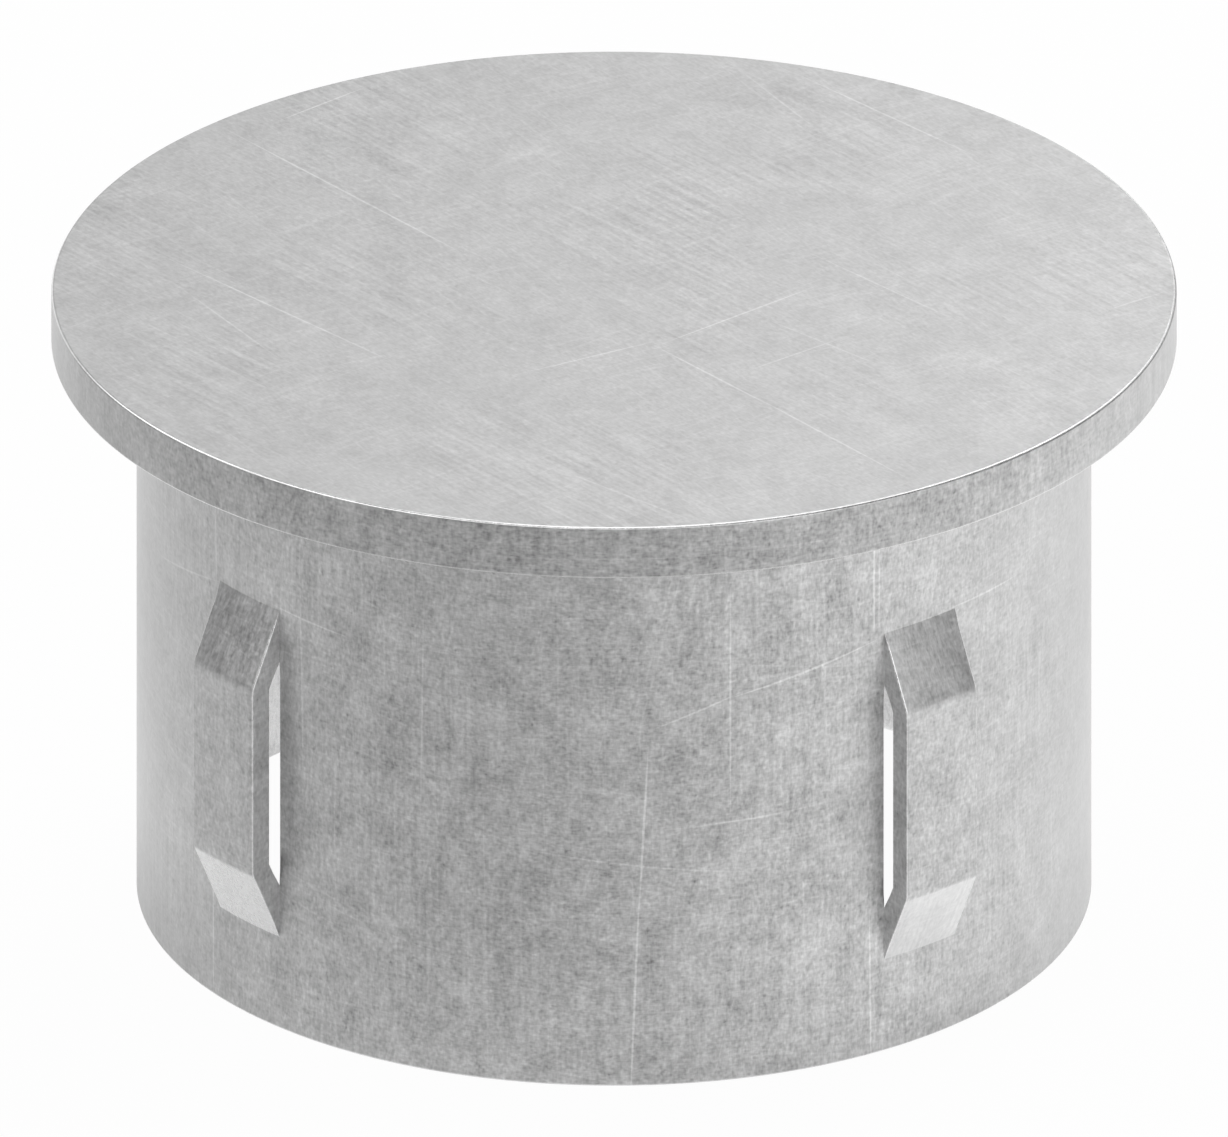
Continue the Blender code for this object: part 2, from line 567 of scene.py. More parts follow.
class BridgeSection:
    """The lines that one bridge's section is made of, worked out once for all bridges.

    All of them have the same number of stations, from the upper root down to the lower one, so that
    neighbouring surfaces meet point to point. The strip keeps the wall's thickness, so the two faces of a
    bend are arcs about one centre: outside the strip at a root, and inside it where the ramp ends.
    """

    def __init__(self, form: BridgeForm, collar: Collar, seat: float) -> None:
        """Works out the lines.

        Args:
            form: The bridge's sizes.
            collar: The wall that it is pressed out of.
            seat: Height of the flange's underside.
        """
        upper_root = seat - form.drop
        turn = form.bend * math.tan(form.ramp_angle / 2)
        far = form.bend + collar.wall
        self.form = form
        self.collar = collar
        self.height_sum = upper_root + form.tail
        self.root = upper_root + turn
        self.low_root = self.height_sum - self.root
        self.root_centre = (collar.radius + form.bend, self.root)
        self.end_centre = (collar.radius + form.rise - far, upper_root - form.ramp - turn * far / form.bend)
        self.outer = self.outer_face(far)
        self.inner, self.clear_at = self.inner_face(far)
        self.wall_heights = self.levels()
        self.strip_edges = self.worn(self.outer, 0, form.strip_edge)
        self.inner_edges = self.worn(self.inner, self.clear_at, form.strip_edge)
        self.wall = self.upright(collar.radius, 1)
        self.bore = self.upright(collar.bore, -1)
        self.slit_edges = self.worn(self.wall, self.clear_at, form.slit_edge)

    def outer_face(self, far: float) -> Profile:
        """The strip's outer face: a sharp hollow bend at a root, a ramp, and a wide bend onto the flat.

        Args:
            far: Radius of the wide side of a bend.

        Returns:
            The line, from the upper root to the lower one.
        """
        form, lean = self.form, self.form.ramp_angle
        root = Profile.arc(self.root_centre, form.bend, math.pi, math.pi + lean, form.sharp_spans, True)
        end = Profile.arc(self.end_centre, far, lean, 0, form.wide_spans)
        upper = root.then(end, form.ramp_spans_above + form.ramp_spans_below)
        return upper.then(upper.turned_over(self.height_sum), form.flat_spans)

    def inner_face(self, far: float) -> tuple[Profile, int]:
        """The strip's inner face, with a station where it leaves the wall's outer face and the gap opens.

        Args:
            far: Radius of the wide side of a bend.

        Returns:
            The line, and the number of the station at the gap's upper end.
        """
        form, lean = self.form, self.form.ramp_angle
        root = Profile.arc(self.root_centre, far, math.pi, math.pi + lean, form.wide_spans)
        end = Profile.arc(self.end_centre, form.bend, lean, 0, form.sharp_spans, hollow=True)
        start, stop = root.places[-1], end.places[0]
        share = (self.collar.radius - start[0]) / (stop[0] - start[0])
        height = start[1] + share * (stop[1] - start[1])
        opening = Profile.point(self.collar.radius, height, tuple(end.facings[0]))
        upper = root.then(opening, form.ramp_spans_above).then(end, form.ramp_spans_below)
        line = upper.then(upper.turned_over(self.height_sum), form.flat_spans)
        return line, form.wide_spans + form.ramp_spans_above

    def levels(self) -> Array:
        """Heights on the plain wall for each station, even between the roots and the gap's two ends.

        Returns:
            The heights, downwards.
        """
        last = len(self.inner.places) - 1
        gap = self.inner.places[[self.clear_at, last - self.clear_at], 1]
        stations = (0, self.clear_at, last - self.clear_at, last)
        return np.interp(np.arange(last + 1), stations, (self.root, gap[0], gap[1], self.low_root))

    def upright(self, radius: float, outwards: float) -> Profile:
        """A straight line down a face of the plain wall, with the bridge's stations.

        Args:
            radius: The face's distance from the axis.
            outwards: 1 where the face looks away from the axis, and -1 where it looks towards it.

        Returns:
            The line.
        """
        heights = self.wall_heights
        return Profile(np.column_stack((np.full_like(heights, radius), heights)),
                       np.broadcast_to((outwards, 0.0), (len(heights), 2)))

    def worn(self, line: Profile, start: int, size: float) -> Array:
        """How far an edge is rounded at each station: size times 3 t^2 - 2 t^3, t growing from each end.

        Args:
            line: The edge's line.
            start: Station at which the edge starts. It ends as far from the other end.
            size: The full radius.

        Returns:
            The rounding's radius at each station, zero outside the edge.
        """
        way = line.lengths()
        from_ends = np.minimum(way - way[start], way[len(way) - 1 - start] - way)
        share = np.clip(from_ends / self.form.fade, 0, 1)
        return size * share * share * (3 - 2 * share)


@dataclass(frozen=True)
class Bridge:
    """One bridge, at its own heading round the collar."""

    section: BridgeSection
    heading: float

    @property
    def leftwards(self) -> Array:
        """The way across the bridge."""
        return np.array((-math.sin(self.heading), math.cos(self.heading), 0))

    def headings(self, radius: Array, offsets: Array) -> Array:
        """Headings of points at a distance from the axis and an offset from the bridge's middle plane."""
        return self.heading + np.arcsin(offsets / radius)

    def rounded(self, line: Profile, sizes: Array, side: Side, inside: float) -> Patch:
        """The rounded edge between a curved face and a slit plane.

        The facing turns from the face's own to the plane's by an even share of the angle A between them:
        (sin((1 - t) A) face + sin(t A) plane) / sin A. A point is the round's centre plus its radius
        times that.

        Args:
            line: The face's line down the section.
            sizes: The round's radius at each station.
            side: Which slit plane.
            inside: 1 where the face lies between the two slits, and -1 where it lies outside them.

        Returns:
            The round, from the face to the plane.
        """
        half = self.section.form.width / 2
        outwards = line.facings[:, 0]
        offsets = side.value * (half - inside * sizes) / (1 - sizes * outwards / line.radius)
        face = Patch.swept(line, self.headings(line.radius, offsets)[:, None])
        centres = face.points - sizes[:, None, None] * face.facings
        plane = inside * side.value * self.leftwards
        angle = np.arccos(face.facings @ plane)[..., None]
        share = np.linspace(0, 1, self.section.form.edge_spans + 1)[None, :, None]
        facings = (np.sin((1 - share) * angle) * face.facings + np.sin(share * angle) * plane) / np.sin(angle)
        return Patch(centres + sizes[:, None, None] * facings, facings)

    def face(self, line: Profile, sizes: Array) -> Patch:
        """The strip's outer or inner face, in even columns between its two rounded edges.

        Args:
            line: The face's line down the section.
            sizes: The edges' radius at each station.

        Returns:
            The face.
        """
        form = self.section.form
        reach = (form.width / 2 - sizes) / (1 - sizes * line.facings[:, 0] / line.radius)
        offsets = reach[:, None] * np.linspace(-1, 1, form.across + 1)
        return Patch.swept(line, self.headings(line.radius[:, None], offsets))

    def cheek(self, side: Side) -> list[Patch]:
        """One slit plane and its rounded edges: the strip's side, and the wall's side behind the strip.

        Args:
            side: Which slit plane.

        Returns:
            The two flat sides and the three rounds that border them.
        """
        section = self.section
        outer = self.rounded(section.outer, section.strip_edges, side, 1)
        inner = self.rounded(section.inner, section.inner_edges, side, 1)
        slit = self.rounded(section.wall, section.slit_edges, side, -1)
        half = np.full(len(section.wall_heights), side.value * section.form.width / 2)
        bore = Patch.swept(section.bore, self.headings(section.bore.radius, half)[:, None]).points[:, 0]
        stations = np.arange(len(half))
        is_open = np.minimum(stations, stations[::-1])[:, None] >= section.clear_at
        strip_back = np.where(is_open, inner.points[:, -1], slit.points[:, -1])
        wall_front = np.where(is_open, slit.points[:, -1], inner.points[:, -1])
        way = side.value * self.leftwards
        strip_side = Patch.between(outer.points[:, -1], strip_back, way)
        wall_side = Patch.between(wall_front, bore, -way)
        return [outer, inner, slit, strip_side, wall_side]

    def patches(self) -> list[Patch]:
        """All surfaces of the bridge and of the slot behind it.

        Returns:
            The strip's two faces, and the flat sides and rounds along both slits.
        """
        section = self.section
        faces = [self.face(section.outer, section.strip_edges), self.face(section.inner, section.inner_edges)]
        return faces + [patch for side in Side for patch in self.cheek(side)]


@dataclass
class EndCap:
    """The whole cap as one shell: flange, collar and bridges."""

    flange: Flange
    collar: Collar = field(default_factory=Collar)
    form: BridgeForm = field(default_factory=BridgeForm)
    bridge_count: int = 4
    first_heading: float = -math.pi / 2
    plain_spans: int = 72
    root_spans: int = 4

    @classmethod
    def from_frame(cls) -> "EndCap":
        """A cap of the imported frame's outer sizes."""
        low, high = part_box(CAP_NODE)
        return cls(Flange(radius=(high.x - low.x) / 2, top=high.z))

    def __post_init__(self) -> None:
        """Places the bridges evenly round the collar."""
        section = BridgeSection(self.form, self.collar, self.flange.underside)
        pitch = 2 * math.pi / self.bridge_count
        self.section = section
        self.bridges = [Bridge(section, self.first_heading + k * pitch) for k in range(self.bridge_count)]

    def plain_headings(self, bridge: Bridge, radius: Array, offsets: Array) -> Array:
        """Even headings from one bridge's left slit to the next one's right slit, for each row of a profile.

        Args:
            bridge: The bridge to the right of the plain stretch.
            radius: Each row's distance from the axis.
            offsets: Each row's distance from a bridge's middle plane to where the plain stretch starts.

        Returns:
            Headings of shape (rows, columns).
        """
        margin = np.arcsin(offsets / radius)[:, None]
        pitch = 2 * math.pi / self.bridge_count
        share = np.linspace(0, 1, self.plain_spans + 1)
        return bridge.heading + margin + (pitch - 2 * margin) * share

    def all_headings(self, radius: Array) -> Array:
        """Headings right round the cap: the bridges' even offsets, then the plain stretches.

        Args:
            radius: Each row's distance from the axis.

        Returns:
            Headings of shape (rows, columns), where the last column closes the ring.
        """
        half = self.form.width / 2
        offsets = np.linspace(-half, half, self.form.across + 1)
        columns = []
        for bridge in self.bridges:
            columns.append(bridge.headings(radius[:, None], offsets)[:, :-1])
            columns.append(self.plain_headings(bridge, radius, np.full_like(radius, half))[:, :-1])
        columns.append(columns[0][:, :1] + 2 * math.pi)
        return np.concatenate(columns, axis=1)

    def ring(self, profile: Profile) -> Patch:
        """A profile turned right round the cap."""
        return Patch.swept(profile, self.all_headings(profile.radius))

    def round_patches(self) -> list[Patch]:
        """The surfaces that go right round the cap.

        Returns:
            Top, flange, collar above the bridges, rim, bore above the bridges, and the hollow's ceiling.
        """
        collar, flange, section = self.collar, self.flange, self.section
        down = (collar.radius, flange.underside), (collar.radius, section.root)
        up = (collar.bore, section.root), (collar.bore, flange.underside)
        side = self.ring(flange.side(collar.radius))
        outside = self.ring(Profile.straight(*down, (1, 0), self.root_spans))
        rim = self.ring(collar.rim(section.low_root))
        inside = self.ring(Profile.straight(*up, (-1, 0), self.root_spans))
        top = Patch.disc(side.points[0], 1.0, flange.rings)
        ceiling = Patch.disc(inside.points[-1], -1.0, flange.rings)
        return [top, side, outside, rim, inside, ceiling]

    def plain_patches(self) -> list[Patch]:
        """The collar's two faces between one bridge and the next.

        Returns:
            The outer and the inner face of each stretch.
        """
        section = self.section
        half = self.form.width / 2
        worn = section.slit_edges
        reach = (half + worn) / (1 - worn / section.wall.radius)
        inner_reach = np.full_like(reach, half)
        patches = []
        for bridge in self.bridges:
            for line, offsets in ((section.wall, reach), (section.bore, inner_reach)):
                patches.append(Patch.swept(line, self.plain_headings(bridge, line.radius, offsets)))
        return patches

    def build(self) -> bpy.types.Object:
        """Makes the shell as one closed piece.

        Returns:
            The piece, undressed.
        """
        skin = Skin()
        skin.add(*self.round_patches())
        skin.add(*self.plain_patches())
        for bridge in self.bridges:
            skin.add(*bridge.patches())
        return skin.object("cap_shell", SheetMetal(self.collar.radius, self.bridge_count))


class Value:
    """A number socket of a shader, on which Python's arithmetic adds Math nodes."""

    def __init__(self, graph: "Graph", socket: Socket) -> None:
        """Wraps a socket of a graph."""
        self.graph = graph
        self.socket = socket

    def __add__(self, other: "Value | float") -> "Value":
        """This plus another."""
        return self.graph.math("ADD", self, other)

    def __sub__(self, other: "Value | float") -> "Value":
        """This less another."""
        return self.graph.math("SUBTRACT", self, other)

    def __rsub__(self, other: float) -> "Value":
        """A number less this."""
        return self.graph.math("SUBTRACT", other, self)

    def __mul__(self, other: "Value | float") -> "Value":
        """This times another."""
        return self.graph.math("MULTIPLY", self, other)

    def over(self, low: float, high: float) -> "Value":
        """0 below low, 1 above high, and a smooth step between them. It falls where high is below low.

        Args:
            low: The number at which the step is 0.
            high: The number at which the step is 1.

        Returns:
            The step.
        """
        if high < low:
            return 1 - self.over(high, low)
        inputs = {"Value": self, "From Min": low, "From Max": high}
        node = self.graph.node("MapRange", {"interpolation_type": "SMOOTHSTEP"}, inputs)
        return Value(self.graph, node.outputs["Result"])


@dataclass(frozen=True)
class Grain:
    """A layer of smooth noise.

    The stretch is how many features there are to a millimetre along each axis. Where it has two numbers, only
    the first two of a point count. The detail is how many finer layers are added, and the fineness is how
    strong each is, as a share of the one before. The offset shifts the pattern, so that layers differ.
    """

    stretch: tuple[float, ...]
    offset: float
    detail: float = 0.0
    fineness: float = 0.5
    turned_step: float = 4.4

    def shifted(self, step: float) -> "Grain":
        """The same grain with its pattern shifted further."""
        return replace(self, offset=self.offset + step)

    def turned(self) -> "Grain":
        """The same grain running the other way, with another pattern."""
        return replace(self.shifted(self.turned_step), stretch=self.stretch[::-1])


class Graph:
    """A material's or world's node tree, with short ways to add to it."""

    def __init__(self, owner: bpy.types.Material | bpy.types.World) -> None:
        """Empties the owner's tree and starts a new one.

        Args:
            owner: The material or world.
        """
        owner.use_nodes = True
        self.tree = owner.node_tree
        self.tree.nodes.clear()

    def node(self, kind: str, settings: dict[str, Any] | None = None,
             inputs: dict[str | int, Any] | None = None) -> bpy.types.Node:
        """Adds a node.

        Args:
            kind: The node's type, without the ShaderNode before it.
            settings: Its own settings, set before anything else.
            inputs: Values, wrapped values or sockets for its sockets, by name or number.

        Returns:
            The node.
        """
        made = self.tree.nodes.new(f"ShaderNode{kind}")
        for name, value in (settings or {}).items():
            setattr(made, name, value)
        for key, value in (inputs or {}).items():
            source = value.socket if isinstance(value, Value) else value
            if isinstance(source, Socket):
                self.tree.links.new(source, made.inputs[key])
            else:
                made.inputs[key].default_value = source
        return made

    def math(self, operation: str, *inputs: "Value | float") -> Value:
        """One Math node on values or numbers."""
        made = self.node("Math", {"operation": operation}, dict(enumerate(inputs)))
        return Value(self, made.outputs[0])

    def vector(self, operation: str, inputs: dict[str | int, Any], output: str = "Vector") -> Socket:
        """One Vector Math node."""
        return self.node("VectorMath", {"operation": operation}, inputs).outputs[output]

    def split(self, vector: Socket) -> tuple[Value, Value, Value]:
        """A vector's three numbers."""
        outputs = self.node("SeparateXYZ", inputs={"Vector": vector}).outputs
        return Value(self, outputs[0]), Value(self, outputs[1]), Value(self, outputs[2])

    def noise(self, place: Socket, grain: Grain) -> Value:
        """A grain at a place.

        Args:
            place: The point, in millimetres.
            grain: The layer of noise.

        Returns:
            The grain there, from about -0.5 to 0.5.
        """
        axes = len(grain.stretch)
        stretch = grain.stretch + (0.0,) * (3 - axes)
        spot = self.vector("MULTIPLY_ADD", {0: place, 1: stretch, 2: (grain.offset,) * 3})
        inputs = {"Vector": spot, "Scale": 1.0, "Detail": grain.detail, "Roughness": grain.fineness}
        made = self.node("TexNoise", {"noise_dimensions": f"{axes}D"}, inputs)
        return Value(self, made.outputs["Fac"]) - 0.5

    def mixed(self, share: "Value | float", first: Any, second: Any) -> Socket:
        """A colour between two, by a share."""
        made = self.node("Mix", {"data_type": "RGBA"}, {0: share, 6: first, 7: second})
        return made.outputs[2]


@dataclass(frozen=True)
class Scratch:
    """A scratch from one place to another in millimetres, widest and brightest in its middle."""

    start: Pair
    end: Pair
    strength: float

    def mark(self, graph: Graph, place: Socket, width: float) -> Value:
        """How strongly the scratch shows: 2 strength (1 - u^2 - v^2), negative outside it.

        u and v are the point's distances from the scratch's middle, along it over half its length and across
        it over half its width.

        Args:
            graph: The shader's graph.
            place: The point on the surface, in millimetres.
            width: Half the scratch's width, in millimetres.

        Returns:
            The mark, at most twice the scratch's strength.
        """
        run = (self.end[0] - self.start[0], self.end[1] - self.start[1])
        middle = ((self.start[0] + self.end[0]) / 2, (self.start[1] + self.end[1]) / 2, 0.0)
        spot = graph.node("Mapping", {"vector_type": "TEXTURE"}, {
            "Vector": place,
            "Location": middle,
            "Rotation": (0.0, 0.0, math.atan2(run[1], run[0])),
            "Scale": (math.hypot(*run) / 2, width, 1.0),
        }).outputs[0]
        square = Value(graph, graph.vector("DOT_PRODUCT", {0: spot, 1: spot}, "Value"))
        return graph.math("MULTIPLY_ADD", square, -2 * self.strength, 2 * self.strength)


SCRATCHES = tuple(Scratch((x, y), (end_x, end_y), strength) for x, y, end_x, end_y, strength in (
    (6.6, 109.0, 6.9, 97.0, 0.9),
    (6.6, 98.6, 4.8, 88.8, 0.6),
    (6.5, 97.1, 17.0, 97.0, 1.0),
    (14.0, 97.1, 29.5, 96.7, 0.7),
    (-29.5, 97.1, -7.0, 96.7, 0.9),
    (12.5, 106.5, 12.4, 98.0, 0.5),
    (-16.0, 124.8, 1.0, 125.6, 0.6),
    (-17.5, 123.0, -8.0, 121.1, 0.4),
    (-20.0, 84.2, 1.0, 85.2, 0.6),
    (-16.0, 82.6, -4.0, 80.6, 0.4),
    (-28.0, 106.5, -27.7, 99.5, 0.7),
    (2.0, 110.9, 15.5, 111.5, 0.45),
    (7.0, 103.7, 18.0, 104.9, 0.4),
    (19.1, 122.4, 18.9, 118.6, 0.5),
    (14.0, 83.0, 27.0, 84.8, 0.4),
    (-15.9, 20.6, -16.5, 9.0, 0.8),
    (-16.4, 12.0, -16.9, -1.0, 0.9),
    (-11.5, 29.6, -11.5, 15.0, 0.6),
    (-15.9, 20.9, -10.6, 22.9, 0.6),
    (-12.0, 22.4, -2.6, 24.4, 1.0),
    (1.6, 24.7, 8.2, 24.6, 0.6),
    (-23.6, 13.9, -10.0, 12.1, 0.4),
    (-15.8, 15.0, -6.0, 15.5, 0.35),
    (-3.1, 30.5, -3.1, 24.4, 1.0),
    (-2.75, 30.5, -2.8, 24.4, 0.5),
    (-3.4, 8.5, -3.3, -1.0, 0.9),
    (-42.9, 29.0, -42.8, 24.0, 0.8),
    (-43.1, 9.0, -43.1, -1.0, 0.6),
    (-36.1, 29.8, -35.8, 15.0, 0.4),
    (-28.2, 28.0, -28.4, 14.0, 0.35),
    (-50.5, 22.9, -42.0, 24.6, 0.5),
    (-38.3, 24.8, -32.6, 24.4, 0.6),
))
"""Scratches by their place on the flat sheet: first those on the flange's top, then those on the collar."""


@dataclass(frozen=True)
class GalvanisedSteel:
    """Dull galvanised sheet: mottled grey zinc worn in fine crossing lines, with hairlines and scratches, and
    painted light and shade.

    A mark's calm level is how much of it is left where the grain is calm.
    """

    black: Colour = (0.0, 0.0, 0.0, 1.0)
    white: Colour = (1.0, 1.0, 1.0, 1.0)
    shade: float = 0.5
    # How much the painted light, shade and worn edges change the base colour
    light_and_wear_tone: float = 0.44
    metallic: float = 1.0
    roughness: float = 0.40
    light_and_wear_smoothness: float = 0.2
    roughness_depth: float = 0.2
    relief: float = 0.000012
    mottle: Grain = Grain((0.33, 0.33, 0.33), 3.1, detail=4, fineness=1.0)
    mottle_strength: float = 1.4
    calm_mottle: float = 0.26
    specks: Grain = Grain((2.4, 2.4, 2.4), 6.1, detail=1, fineness=0.6)
    speck_peaks: Pair = (0.13, 0.30)
    speck_strength: float = 0.22
    lines: Grain = Grain((2.3, 5.8), 5.3, detail=1, fineness=0.7)
    line_strength: float = 0.88
    calm_lines: float = 0.31
    brushing: Grain = Grain((0.14, 3.6), 15.3)
    brushing_turn: Pair = (0.25, 0.45)
    brushing_strength: float = 0.26
    bands: Grain = Grain((0.09, 0.09), 23.1)
    band_edges: Pair = (-0.1, 0.16)
    streaks: Grain = Grain((0.07, 4.5), 11.0)
    streak_step: float = 7.0
    streak_peaks: Pair = (0.22, 0.34)
    hairline_turns: tuple[float, ...] = (1.0, 76.0, 91.0, 169.0)
    hairline_strength: float = 0.08
    scratch_width: float = 0.075
    scratch_strength: float = 0.30
    calm_marks: float = 0.55

    @staticmethod
    def crossed(graph: Graph, sheet: Socket, grain: Grain, upright: Value) -> Value:
        """Lines along the flat sheet's first way, and by a share along its second way instead."""
        return graph.noise(sheet, grain) * (1 - upright) + graph.noise(sheet, grain.turned()) * upright

    @staticmethod
    def calmed(calm: Value, level: float) -> Value:
        """1 where the grain isn't calm, down to a level where it is."""
        return calm * (level - 1.0) + 1.0

    def brushed(self, graph: Graph, sheet: Socket, upright: Value) -> Value:
        """Long straight lines, in broad bands, upright on the walls and all one way on level faces."""
        band = graph.noise(sheet, self.bands).over(*self.band_edges)
        return self.crossed(graph, sheet, self.brushing, upright.over(*self.brushing_turn)) * band

    def hairlines(self, graph: Graph, sheet: Socket) -> Value:
        """Faint straight hairlines in a few directions: the peaks of long, narrow noise.

        Args:
            graph: The shader's graph.
            sheet: The place on the flat sheet, in millimetres.

        Returns:
            How strongly a hairline shows, from 0 to 1.
        """
        total: Value | float = 0.0
        for number, degrees in enumerate(self.hairline_turns):
            turned = graph.node("Mapping", {"vector_type": "TEXTURE"}, {
                "Vector": sheet,
                "Rotation": (0.0, 0.0, math.radians(degrees)),
            }).outputs[0]
            streak = graph.noise(turned, self.streaks.shifted(self.streak_step * number))
            total = graph.math("MAXIMUM", total, streak)
        return total.over(*self.streak_peaks)

    def scratches(self, graph: Graph, sheet: Socket) -> Value:
        """The placed scratches, where each point takes the strongest.

        Args:
            graph: The shader's graph.
            sheet: The place on the flat sheet, in millimetres.

        Returns:
            How strongly a scratch shows, up to 1.
        """
        total: Value | float = 0.0
        for scratch in SCRATCHES:
            total = graph.math("MAXIMUM", total, scratch.mark(graph, sheet, self.scratch_width))
        return graph.math("MINIMUM", total, 1.0)

    def material(self) -> bpy.types.Material:
        """Builds the finish.

        Returns:
            A material on Object coordinates and the shell's own places, worn edges and painted light and
            shade.
        """
        steel = bpy.data.materials.new("galvanised_steel_finish")
        graph = Graph(steel)
        metres = graph.node("TexCoord").outputs["Object"]
        place = graph.vector("SCALE", {0: metres, "Scale": 1 / MILLIMETRE})
        sheet, wear_and_light = (graph.node("Attribute", {"attribute_name": name}).outputs["Vector"]
                       for name in (SHEET_PLACE, SHEET_WEAR_AND_LIGHT))
        light_and_wear, upright, calm = graph.split(wear_and_light)
        specks = graph.noise(place, self.specks).over(*self.speck_peaks)
        clouds = graph.noise(place, self.mottle) * self.mottle_strength - specks * self.speck_strength
        lines = self.crossed(graph, sheet, self.lines, upright) * self.line_strength
        lines = lines * self.calmed(calm, self.calm_lines)
        marks = (self.brushed(graph, sheet, upright) * self.brushing_strength
                 + self.hairlines(graph, sheet) * self.hairline_strength
                 + self.scratches(graph, sheet) * self.scratch_strength)
        texture = (clouds * self.calmed(calm, self.calm_mottle) + lines
                   + marks * self.calmed(calm, self.calm_marks))
        # The base colour takes the shell's painted light and shade and its worn edges
        tone = texture * self.shade + light_and_wear * self.light_and_wear_tone + self.shade
        rough = texture * self.roughness_depth - light_and_wear * self.light_and_wear_smoothness + self.roughness
        bump = graph.node("Bump", inputs={"Distance": self.relief, "Height": lines})
        shader = graph.node("BsdfPrincipled", inputs={
            "Base Color": graph.mixed(tone, self.black, self.white),
            "Metallic": self.metallic,
            "Roughness": rough,
            "Normal": bump.outputs["Normal"],
        })
        graph.node("OutputMaterial", inputs={"Surface": shader.outputs[0]})
        return steel

    def dress(self, piece: bpy.types.Object) -> None:
        """Gives a piece this finish."""
        piece.data.materials.clear()
        piece.data.materials.append(self.material())


@dataclass(frozen=True)
class Viewpoint:
    """A parallel camera. Azimuth 0 looks along +Y, and elevation is above the horizon, both in degrees."""

    azimuth: float = 50.0
    elevation: float = 25.1
    aim_height: float = 0.01857
    width: float = 0.06546
    distance: float = 0.4
    nearest: float = 0.01
    farthest: float = 10.0

    def way(self, azimuth: float, elevation: float) -> Vector:
        """The way from the aim to a place at an azimuth from the camera's and an elevation."""
        turn, rise = math.radians(self.azimuth + azimuth), math.radians(elevation)
        return Vector((math.sin(turn) * math.cos(rise), -math.cos(turn) * math.cos(rise), math.sin(rise)))

    def set_up(self, thing: bpy.types.Object, azimuth: float, elevation: float, distance: float) -> None:
        """Puts a camera or lamp at a distance from the aim, looking at it.

        Args:
            thing: The camera or lamp.
            azimuth: Its azimuth from the camera's, in degrees.
            elevation: Its elevation, in degrees.
            distance: How far it is from the aim.
        """
        out = self.way(azimuth, elevation)
        thing.location = Vector((0, 0, self.aim_height)) + out * distance
        thing.rotation_euler = out.to_track_quat("Z", "Y").to_euler()

    def build(self) -> None:
        """Makes the scene's camera."""
        data = bpy.data.cameras.new("view")
        data.type = "ORTHO"
        data.ortho_scale = self.width
        data.clip_start = self.nearest
        data.clip_end = self.farthest
        camera = linked("view", data)
        self.set_up(camera, 0, self.elevation, self.distance)
        bpy.context.scene.camera = camera


@dataclass(frozen=True)
class Softbox:
    """A square area lamp that shines on the cap's middle. Its azimuth is from the camera's, to the right."""

    name: str
    azimuth: float
    elevation: float
    radiance: float
    size: float = 0.5
    distance: float = 0.9

    def build(self, viewpoint: Viewpoint) -> None:
        """Makes the lamp.

        A square lamp of side s and power P has a radiance of P / (pi s^2).

        Args:
            viewpoint: The camera that the azimuth is measured from.
        """
        data = bpy.data.lights.new(f"{self.name}_softbox", "AREA")
        data.shape = "SQUARE"
        data.size = self.size
        data.energy = self.radiance * math.pi * self.size ** 2
        viewpoint.set_up(linked(data.name, data), self.azimuth, self.elevation, self.distance)


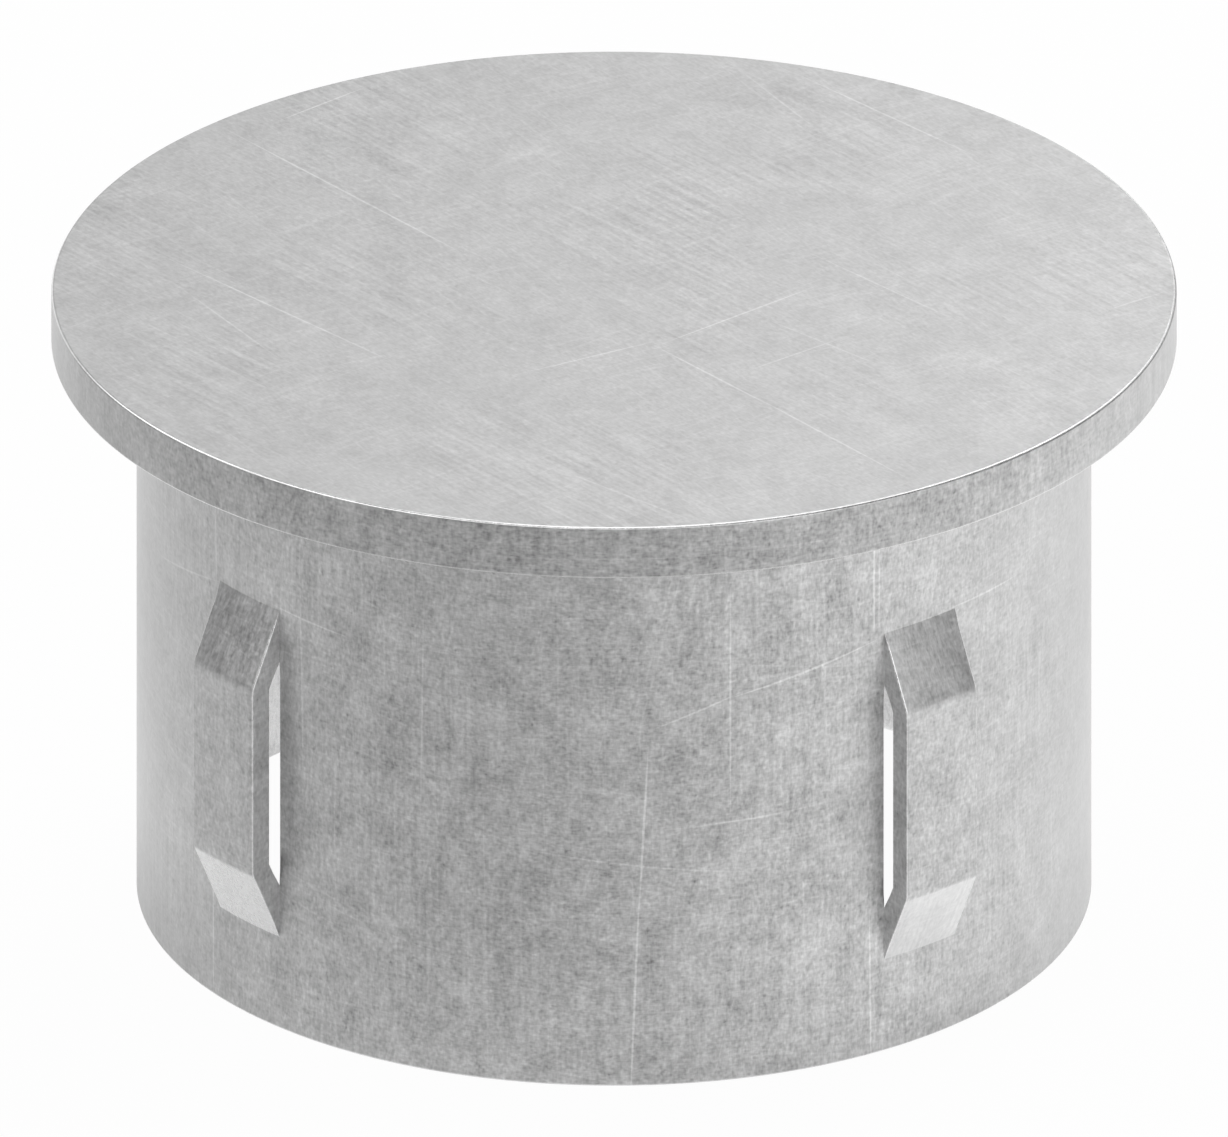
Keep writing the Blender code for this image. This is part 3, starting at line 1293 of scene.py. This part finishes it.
@dataclass(frozen=True)
class Studio:
    """A pale floor, a plain world and soft lamps."""

    viewpoint: Viewpoint = Viewpoint()
    softboxes: tuple[Softbox, ...] = (
        Softbox("overhead", 0.0, 89.0, 1.4),
        Softbox("high_back", 180.0, 64.0, 2.0),
        Softbox("front", 0.0, 36.0, 0.8),
        Softbox("front_left", -30.0, 36.0, 0.9),
        Softbox("near_left", -60.0, 36.0, 1.5),
        Softbox("left", -90.0, 36.0, 0.78),
        Softbox("back_left", -120.0, 36.0, 1.6),
        Softbox("back_right", 150.0, 36.0, 6.5),
        Softbox("low_front", 30.0, 10.0, 1.92),
        Softbox("low_right", 60.0, 10.0, 0.93),
        Softbox("low_back", 180.0, 10.0, 0.53),
        Softbox("low_back_left", -150.0, 10.0, 0.71),
    )
    floor_half: float = 3.0
    floor_drop: float = 0.00001
    floor_colour: Colour = (0.6, 0.6, 0.6, 1.0)
    unlit: Colour = (0.0, 0.0, 0.0, 1.0)
    floor_white: float = 0.97
    glow_azimuth: float = 135.0
    glow_reach: float = 0.08
    glow_near: float = 0.04
    glow_far: float = 0.64
    close_radius: float = 0.030
    close_reach: float = 0.055
    close_glow: float = 0.12
    close_swing: float = 0.20
    hollow_glow: float = 0.62
    hollow_radius: float = 0.023
    hollow_fade: float = 0.001
    world_level: float = 0.3

    @staticmethod
    def rays(graph: Graph) -> tuple[Value, Value]:
        """Whether the camera sees a surface, straight or through something, and whether metal shows it.

        Args:
            graph: The surface's shader.

        Returns:
            1 or 0 for each of the two.
        """
        outputs = graph.node("LightPath").outputs
        camera, through, glossy = (Value(graph, outputs[name]) for name in
                                   ("Is Camera Ray", "Is Transmission Ray", "Is Glossy Ray"))
        return camera + through, glossy

    def glow(self, graph: Graph) -> Value:
        """How brightly the metal sees the floor glow.

        Args:
            graph: The floor's shader.

        Returns:
            The strength, higher towards the back and right, close to the cap and under the cap's hollow.
        """
        place = graph.node("TexCoord").outputs["Object"]
        way = tuple(self.viewpoint.way(self.glow_azimuth, 0))
        far = Value(graph, graph.vector("DOT_PRODUCT", {0: place, 1: way}, "Value"))
        ramp = far.over(-self.glow_reach, self.glow_reach)
        off_axis = Value(graph, graph.vector("LENGTH", {0: place}, "Value"))
        close = off_axis.over(self.close_reach, self.close_radius)
        close = close * (ramp * self.close_swing + self.close_glow)
        outside = ramp * (self.glow_far - self.glow_near) + self.glow_near + close
        under = off_axis.over(self.hollow_radius + self.hollow_fade, self.hollow_radius)
        return outside + under * (self.hollow_glow - outside)

    def floor(self) -> None:
        """The floor: white to the eye, with the cap's soft shadow, lit and glowing in the metal.

        Seen from below it is clear.
        """
        half, height = self.floor_half, -self.floor_drop
        mesh = bpy.data.meshes.new("floor")
        corners = [(-half, -half, height), (half, -half, height), (half, half, height), (-half, half, height)]
        mesh.from_pydata(corners, [], [(0, 1, 2, 3)])
        paint = bpy.data.materials.new("floor_paint")
        paint.cycles.emission_sampling = "NONE"
        graph = Graph(paint)
        seen, glossy = self.rays(graph)
        white = seen * self.floor_white
        colour = graph.mixed(white, self.floor_colour, self.unlit)
        lit = graph.node("BsdfDiffuse", inputs={"Color": colour})
        bright = graph.node("Emission", inputs={"Strength": white + glossy * self.glow(graph)})
        above = graph.node("AddShader", inputs={0: lit.outputs[0], 1: bright.outputs[0]})
        clear = graph.node("BsdfTransparent")
        below = graph.node("NewGeometry").outputs["Backfacing"]
        both = graph.node("MixShader", inputs={0: below, 1: above.outputs[0], 2: clear.outputs[0]})
        graph.node("OutputMaterial", inputs={"Surface": both.outputs[0]})
        mesh.materials.append(paint)
        linked("floor", mesh)

    def world(self) -> None:
        """An even world, white where it is seen."""
        world = bpy.data.worlds.new("studio")
        graph = Graph(world)
        seen, _ = self.rays(graph)
        strength = seen * (1.0 - self.world_level) + self.world_level
        background = graph.node("Background", inputs={"Strength": strength})
        graph.node("OutputWorld", inputs={"Surface": background.outputs[0]})
        bpy.context.scene.world = world

    def build(self) -> None:
        """Makes camera, floor, world and lamps."""
        self.viewpoint.build()
        self.floor()
        self.world()
        for softbox in self.softboxes:
            softbox.build(self.viewpoint)
        bpy.context.scene.view_settings.view_transform = "Standard"


def report(piece: bpy.types.Object) -> None:
    """Logs a piece's name and size.

    Args:
        piece: The piece.
    """
    triangles = sum(len(polygon.vertices) - 2 for polygon in piece.data.polygons)
    sizes = " x ".join(f"{side / MILLIMETRE:.2f}" for side in piece.dimensions)
    log.info("%s: %d triangles, %s mm", piece.name, triangles, sizes)


def main() -> None:
    """Loads the frame, dresses the cap and sets up the studio."""
    logging.basicConfig(level=logging.INFO, format="%(name)s: %(message)s")
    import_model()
    Studio().build()
    cap = EndCap.from_frame().build()
    GalvanisedSteel().dress(cap)
    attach(cap, CAP_BODY)
    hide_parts(CAP_NODE)
    report(cap)


if __name__ == "__main__":
    main()
